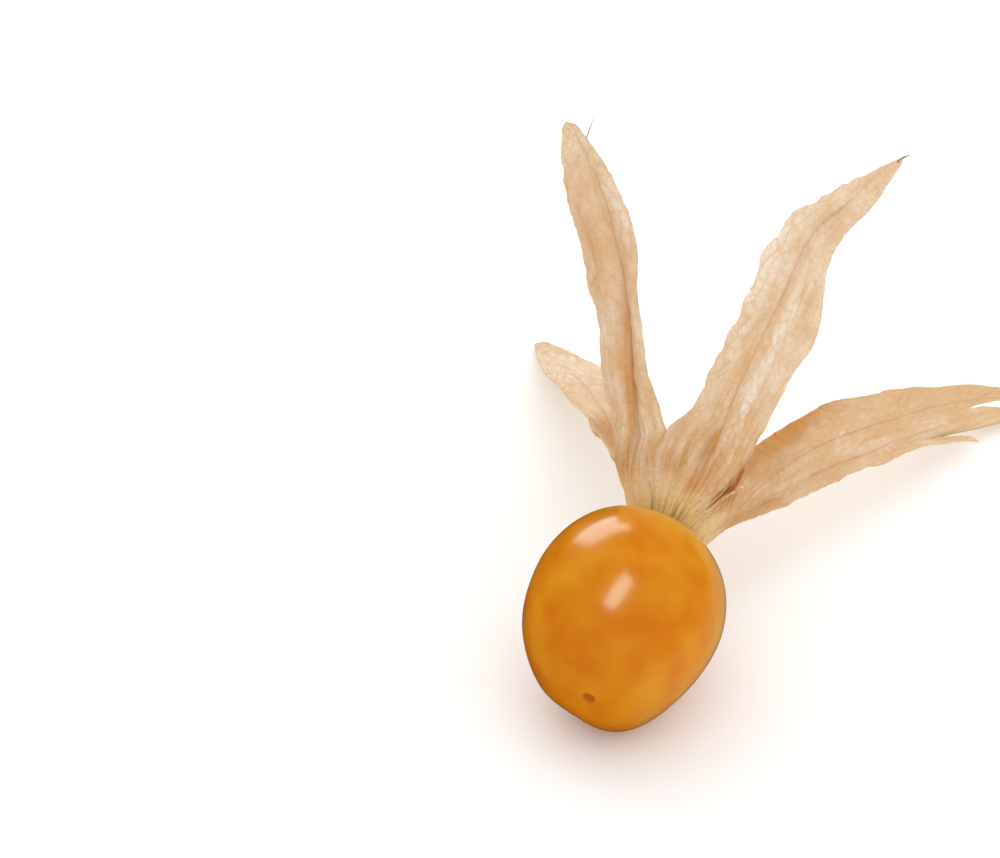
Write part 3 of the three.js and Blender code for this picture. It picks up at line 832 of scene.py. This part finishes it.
paperLook = dict(
    peach=tint(238, 222, 198), tan=tint(226, 194, 150), pale=tint(246, 238, 222),
    # shade darkens the lobes' darker patches, partly as painted shade; hollow is a painted shadow, dark red,
    # in the slit between two lobes
    shade=tint(186, 138, 80), warm=tint(222, 148, 70), hollow=tint(172, 82, 38),
    # The cream just above the collar is partly painted light on a place that lies in shade
    low=tint(214, 165, 90), cream=tint(250, 224, 172), vein=tint(190, 130, 74),
    # The dark gaps between the collar's strands are painted shade
    root=tint(244, 216, 132), rootGapShade=tint(160, 130, 48), strand=tint(242, 220, 166),
    speck=tint(178, 126, 78), glow=tint(242, 216, 182), broadScale=0.18, streakScale=1.3,
    streakStretch=(1, 0.22, 1), cloudScale=0.4, cloudShare=0.4, fibreScale=1.1, fineFibreScale=3.6,
    veinShare=0.38, netScale=1.45, netStretch=(1, 0.68, 1),
    netSway=(1.1, 0.9),  # scale and size
    netShare=0.16, grainScale=5.5, grainShare=0.22,
    bump=(0.4, 0.2),  # strength and distance
    roughness=0.6, roughnessRange=(-0.08, 0.1), specular=0.2,
    through=0.34,  # light from the other side
)


def paperMaterial(name, look, tan):
    paint = Paint(name)
    place = paint.attribute("sheet")
    veins, share, strands = paint.parts(paint.attribute("marks"))
    light, warm, _ = paint.parts(paint.attribute("tone"))
    fibreWay = paint.attribute("fibres")
    broad = paint.noise(place, look["broadScale"])
    streaks = paint.noise(paint.stretched(place, look["streakStretch"]), look["streakScale"], 4.0, 0.6)
    clouds = paint.noise(place, look["cloudScale"])
    radiating = paint.noise(fibreWay, look["fibreScale"], 4.0, 0.65)
    fine = paint.noise(fibreWay, look["fineFibreScale"], 3.0, 0.6)
    grain = paint.noise(place, look["grainScale"], 3.0, 0.6)
    scale, size = look["netSway"]
    sway = paint.out("TexNoise", sockets={"Vector": place, "Scale": scale, "Detail": 2.0}, output=1)
    sway = paint.out("VectorMath", {"operation": "SCALE"}, {0: sway, "Scale": size})
    drawn = paint.stretched(place, look["netStretch"])
    bent = paint.out("VectorMath", {"operation": "ADD"}, {0: drawn, 1: sway})
    fineNet = paint.between(paint.cells(bent, look["netScale"]), 0.11, 0.03)

    lower = paint.between(share, 0.4, 0.1) * paint.between(share, 0.02, 0.11, 0.1, 1.0)
    rough = paint.between(streaks, 0.35, 0.6, 0.55, 1.0)
    patchy = paint.between(radiating, 0.4, 0.58, 0.3, 1.0)
    gaps, pulled = paint.between(share, 0.05, 0.0), paint.between(share, 0.26, 0.02)
    mixed = paint.between(broad * 0.5 + streaks * 0.5, 0.38 - tan, 0.66 - tan)
    colour = paint.layered(paint.blend(mixed, look["peach"], look["tan"]), look, [
        (paint.between(clouds, 0.5, 0.75) * look["cloudShare"], "pale"),
        # Darker streaks that run together towards the collar
        (paint.between(radiating, 0.36, 0.6) * lower * 0.75, "low"),
        (paint.between(radiating, 0.58, 0.75) * lower * 0.5, "warm"),
        # A cream band just above the collar, partly painted light on a place that lies in shade
        (paint.between(share, 0.13, 0.05) * 0.85, "cream"),
        # The lobe's patches: paler, darker (partly painted shade) and warmer, and a painted shadow,
        # dark red, in the deep gap between two lobes
        (paint.between(light * rough, 0.0, 1.0), "pale"),
        (paint.between(light, 0.0, -1.1) * 0.85, "shade"),
        (paint.between(warm * patchy, 0.0, 1.3) * 0.85, "warm"),
        (paint.between(light, -1.1, -2.2) * 0.95, "hollow"),
        # Yellow-green where it grips the stalk, with painted shade in the gaps between its pale strands
        (paint.between(share, 0.06, 0.0) * 0.9, "root"),
        (paint.between(strands * 0.6 - fine + 0.5, 0.0, -0.35) * gaps * 0.7, "rootGapShade"),
        (paint.between(strands * 0.5 + fine - 0.5, 0.04, 0.3) * pulled * 0.75, "strand"),
        (paint.between(veins, 0.2, 0.95) * look["veinShare"], "vein"),
        (fineNet * look["netShare"], "vein"),
        (paint.between(grain, 0.58, 0.85) * look["grainShare"], "speck"),
    ])
    height = veins * -0.2 + fineNet * 0.25 + grain * 0.3 + streaks * 0.5 + fine * pulled * 0.6
    normal = paint.bump(height, look)
    paper = paint.surface(colour, grain, normal, look, {"Specular IOR Level": look["specular"]})
    glow = paint.out("BsdfTranslucent", sockets={"Color": look["glow"], "Normal": normal})
    # Less light comes through the darker patches, painted shade among them
    dense = paint.between(light, 0.0, -1.6)
    through = look["through"] * (1.0 - dense * 0.9) * (1.0 - veins * 0.3)
    return paint.finish(paint.out("MixShader", sockets={0: through, 1: paper, 2: glow}))


sheets = [joinedSheet(i) for i in range(5)]
for lobe, piece in zip(lobes, makeHusk(sheets)):
    piece.data.materials.append(paperMaterial(lobe["name"], paperLook, lobe["tan"]))
    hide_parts("husk")
    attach(piece, "root")
print("husk made")


# Loose threads of the torn husk

# Each thread has its lobe, radius, darkness and steps: where on its lobe (across, along), then how far
# aside, forward and off it
threads = dict(
    sides=8, rows=48, thinning=0.6,
    knots=(9, 0.25),  # how many, and their share of the radius
    paths=[
        (1, 0.1, 1, [(0, 0.985, 0, 0, 0), (0, 0.999, 0, 0.1, 0), (0, 1, 0.1, 0.6, 0.05),
          (0, 1, 0.3, 1, 0.2)]),
        (2, 0.06, 0.8, [(0.9, 0.9, 0, 0, 0), (1, 0.905, 0.3, 0.1, 0.1), (1, 0.91, 1, 0.5, 0.2),
          (1, 0.91, 1.9, 1.3, 0.2)]),
        (2, 0.05, 0, [(0.9, 0.87, 0, 0, 0), (1, 0.88, 0.1, 0.3, 0.1), (1, 0.89, 0.1, 0.9, 0.2)]),
        (1, 0.15, 0, [(0.6, 0.025, 0, 0, 0), (0.72, 0.06, 0, 0, 0.3), (0.8, 0.1, 0, 0, 0.5),
          (0.95, 0.13, 0, 0, 0.6), (1, 0.145, 0, 0, 0.8), (1, 0.14, 0.35, 0, 0.85),
          (1, 0.115, 0.4, 0, 0.6)]),
        (1, 0.06, 0, [(0.4, 0.02, 0, 0, 0), (0.55, 0.05, 0, 0, 0.3), (0.7, 0.1, 0, 0, 0.35),
          (0.85, 0.15, 0, 0, 0.1)]),
        (1, 0.05, 0, [(0.2, 0.02, 0, 0, 0), (0.3, 0.06, 0, 0, 0.3), (0.42, 0.11, 0, 0, 0.3),
          (0.6, 0.16, 0, 0, 0.05)]),
        (1, 0.05, 0, [(0.8, 0.015, 0, 0, 0), (0.95, 0.05, 0, 0, 0.3), (1, 0.09, 0.1, 0, 0.4),
          (1, 0.13, 0.3, 0, 0.2)]),
        (2, 0.05, 0, [(0.9, 0.02, 0, 0, 0), (0.8, 0.06, 0, 0, 0.25), (0.7, 0.11, 0, 0, 0.25),
          (0.72, 0.16, 0, 0, 0)]),
    ],
)


# Rings along a smooth curve through each thread's steps off the finished sheet, thinning towards the end
def makeThreads(own):
    places, quads, caps, darkness = [], [], [], []
    tubeQuads, tubeCaps = tubeFaces(own["rows"], own["sides"])
    total = own["rows"] * own["sides"] + 2
    often, thicker = own["knots"]
    for index, radius, dark, steps in own["paths"]:
        sheet = sheets[index]
        stations = []
        for across, share, aside, forward, off in steps:
            row = np.argmin(np.abs(sheet["t"][:, 0] - share))
            column = np.argmin(np.abs(sheet["u"][row] - across))
            point, out = sheet["points"][row, column], sheet["normals"][row, column]
            ahead = unit(point - sheet["points"][row - 3, column])
            stations.append(point + np.cross(ahead, out) * aside + ahead * forward + out * off)
        t = np.linspace(0, 1, own["rows"])
        middle = along(stations, t)
        way = unit(np.gradient(middle, axis=0))
        right = unit(np.cross(way, out + 0.3 * ahead))
        knots = 1 + thicker * ripple(t * often, t * 0 + 3, 7)
        size = radius * (1 - own["thinning"] * t ** 2) * knots
        rings = ringsRound(middle, way, right, evenTurns(own["sides"]), size[:, None])
        quads.append(tubeQuads + total * len(quads))
        caps.append(tubeCaps + total * len(caps))
        places += [rings.reshape(-1, 3), middle[:1], middle[-1:]]
        darkness.append(np.full((total, 3), dark, float))
    return meshObject("tornThreads", np.concatenate(places) * mm, np.concatenate(quads), np.concatenate(caps),
                      {"tone": np.concatenate(darkness)})


threadLook = dict(
    pale=tint(228, 196, 154), tan=tint(206, 160, 108), dark=tint(120, 112, 76), darkShare=0.85,
    grainScale=2600.0, bump=(0.3, 0.1), roughness=0.6, roughnessRange=(-0.1, 0.1),
)


def threadMaterial(look):
    paint = Paint("tornThreads")
    place = paint.out("TexCoord", output=3)
    grain = paint.noise(place, look["grainScale"], 3.0, 0.6)
    darkness = paint.parts(paint.attribute("tone"))[0]
    colour = paint.layered(look["pale"], look, [
        (paint.between(grain, 0.4, 0.65), "tan"),
        (darkness * look["darkShare"], "dark"),
    ])
    return paint.finish(paint.surface(colour, grain, paint.bump(grain, look), look))


threadPiece = makeThreads(threads)
threadPiece.data.materials.append(threadMaterial(threadLook))
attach(threadPiece, "root")
print("threads made")


# Stalk

stalk = dict(
    line=[(11.85, 0), (13.2, 0), (15.2, 0.25), (17.4, 0.9), (19.2, 1.9)],  # ahead, and lift off its line
    radii=[1.35, 0.95, 0.72, 0.66, 0.66, 0.7], sides=96, rows=160, ribs=9,
    ribHeight=0.05,  # as a share of the radius
    ribTwist=2,  # radians
    grain=(15, 9, 0.03),  # spacing round and along, and height
    cut=[(0.82, 0.06), (0.45, -0.12), (0, -0.2)],  # the end's steps: share of the radius, and how far out
)


# Rings along a line, whose radius has ridges and a fine grain, then rings that turn in over the cut end
def makeStalk(own):
    ahead, lift = np.array(own["line"]).T
    line = fromStalk(ahead, lift, np.full_like(lift, np.pi / 2))
    t = np.linspace(0, 1, own["rows"])
    place = along(line, t)
    forward = unit(np.gradient(place, axis=0))
    right = unit(sideWay - dot(forward, sideWay) * forward)
    angle = evenTurns(own["sides"])
    ridges = np.cos(angle * own["ribs"] + own["ribTwist"] * t[:, None])
    across, lengthwise, height = own["grain"]
    grain = height * ripple(angle * across, t[:, None] * lengthwise + angle * 0, 5)
    radius = along(own["radii"], t)[:, None] * (1 + own["ribHeight"] * ridges) + grain
    rings = ringsRound(place, forward, right, angle, radius)
    ends = [place[-1] + (rings[-1] - place[-1]) * share + forward[-1] * out for share, out in own["cut"]]
    rings = np.concatenate([rings, np.stack(ends[:-1])])
    places = np.concatenate([rings.reshape(-1, 3), place[:1], ends[-1][:1]])
    return meshObject("stalkRod", places * mm, *tubeFaces(len(rings), own["sides"]))


stalkLook = dict(
    bark=tint(176, 146, 98), green=tint(168, 158, 96), dark=tint(112, 84, 50), darkShare=0.7,
    streakScale=2600.0, streakStretch=(1, 0.25, 1), broadScale=420.0,
    bump=(0.5, 0.3),  # strength and distance
    roughness=0.7, roughnessRange=(-0.1, 0.1),
)


def stalkMaterial(look):
    paint = Paint("stalkBark")
    place = paint.out("TexCoord", output=3)
    fibres = paint.stretched(place, look["streakStretch"], (0, 0, -heading))
    streaks = paint.noise(fibres, look["streakScale"], 3.0, 0.6)
    broad = paint.noise(place, look["broadScale"], 2.0)
    colour = paint.layered(look["bark"], look, [
        (paint.between(broad, 0.35, 0.65), "green"),
        (paint.between(streaks, 0.5, 0.7) * look["darkShare"], "dark"),
    ])
    return paint.finish(paint.surface(colour, streaks, paint.bump(streaks, look), look))


stalkPiece = makeStalk(stalk)
stalkPiece.data.materials.append(stalkMaterial(stalkLook))
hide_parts("stalk")
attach(stalkPiece, "root")
print("stalk made")


# Studio

studio = dict(
    floorSize=4.0, floorColour=tint(250, 250, 249), floorDust=tint(240, 240, 238), dustShare=0.03,
    dustScale=30.0, floorRoughness=0.9,
    sky=(0.9, 1.38),  # strength from the left and right
    gloss=(0.02, 0.55),  # how strongly the berry mirrors it, at the left and right
    glossColour=(0.72, 0.95, 0.66, 1),
    panels=[  # way there from the berry, metres, watts, and if only gloss sees it
        dict(name="backPanel", way=(-0.24, 0.86, 0.46), distance=0.55, width=0.34, height=0.26, turn=0,
             power=1.25, colour=(0.76, 1, 0.95), gloss=True),
        dict(name="topPanel", way=(-0.1, -0.24, 0.96), distance=0.5, width=0.28, height=0.13, turn=70,
             power=0.85, colour=(0.76, 1, 0.95), gloss=True),
        dict(name="softPanel", way=(-0.3, 0.75, 0.6), distance=1.0, width=1.2, height=0.9, turn=0,
             power=2.7, colour=(1, 0.97, 0.92), gloss=False),
    ],
)


def makeStudio(own):
    half = own["floorSize"] / 2
    corners = np.array([(-half, -half, 0), (half, -half, 0), (half, half, 0), (-half, half, 0)])
    floor = meshObject("floor", corners, np.array([[0, 1, 2, 3]]))
    paint = Paint("floorPaper")
    dust = paint.noise(paint.out("TexCoord", output=3), own["dustScale"], 2.0)
    colour = paint.blend(dust * own["dustShare"], own["floorColour"], own["floorDust"])
    surface = paint.out("BsdfPrincipled", sockets={"Base Color": colour, "Roughness": own["floorRoughness"]})
    floor.data.materials.append(paint.finish(surface))
    floor.visible_glossy = False
    # The sky lights the scene more from the right, and only its part below the horizon shows in the gloss
    sky = Paint("sky", "worlds")
    sideways, _, upwards = sky.parts(sky.out("TexCoord"))
    plain = sky.between(sideways, -1.0, 1.0, *own["sky"])
    mirrored = sky.between(sideways, 0.0, 0.7, *own["gloss"]) * sky.between(upwards, 0.0, -0.25)
    glossy = sky.out("LightPath", output="Is Glossy Ray")
    strength = plain + (mirrored - plain) * glossy
    colour = sky.blend(glossy, (1, 1, 1, 1), own["glossColour"])
    light = sky.out("Background", sockets={"Color": colour, "Strength": strength})
    bpy.context.scene.world = sky.finish(light, "OutputWorld")
    for panel in own["panels"]:
        data = bpy.data.lights.new(panel["name"], "AREA")
        data.shape = "RECTANGLE"
        data.size, data.size_y = panel["width"], panel["height"]
        data.energy = panel["power"]
        data.color = panel["colour"]
        lamp = bpy.data.objects.new(panel["name"], data)
        way = Vector(panel["way"]).normalized()
        turn = Matrix.Rotation(math.radians(panel["turn"]), 4, "Z")
        lamp.matrix_world = (Matrix.Translation(way * panel["distance"] + Vector(centre) * mm)
                             @ way.to_track_quat("Z", "Y").to_matrix().to_4x4() @ turn)
        lamp.visible_glossy = panel["gloss"]
        lamp.visible_diffuse = lamp.visible_transmission = not panel["gloss"]
        bpy.context.scene.collection.objects.link(lamp)
    bpy.context.scene.view_settings.view_transform = "Standard"


makeStudio(studio)
print("studio made")
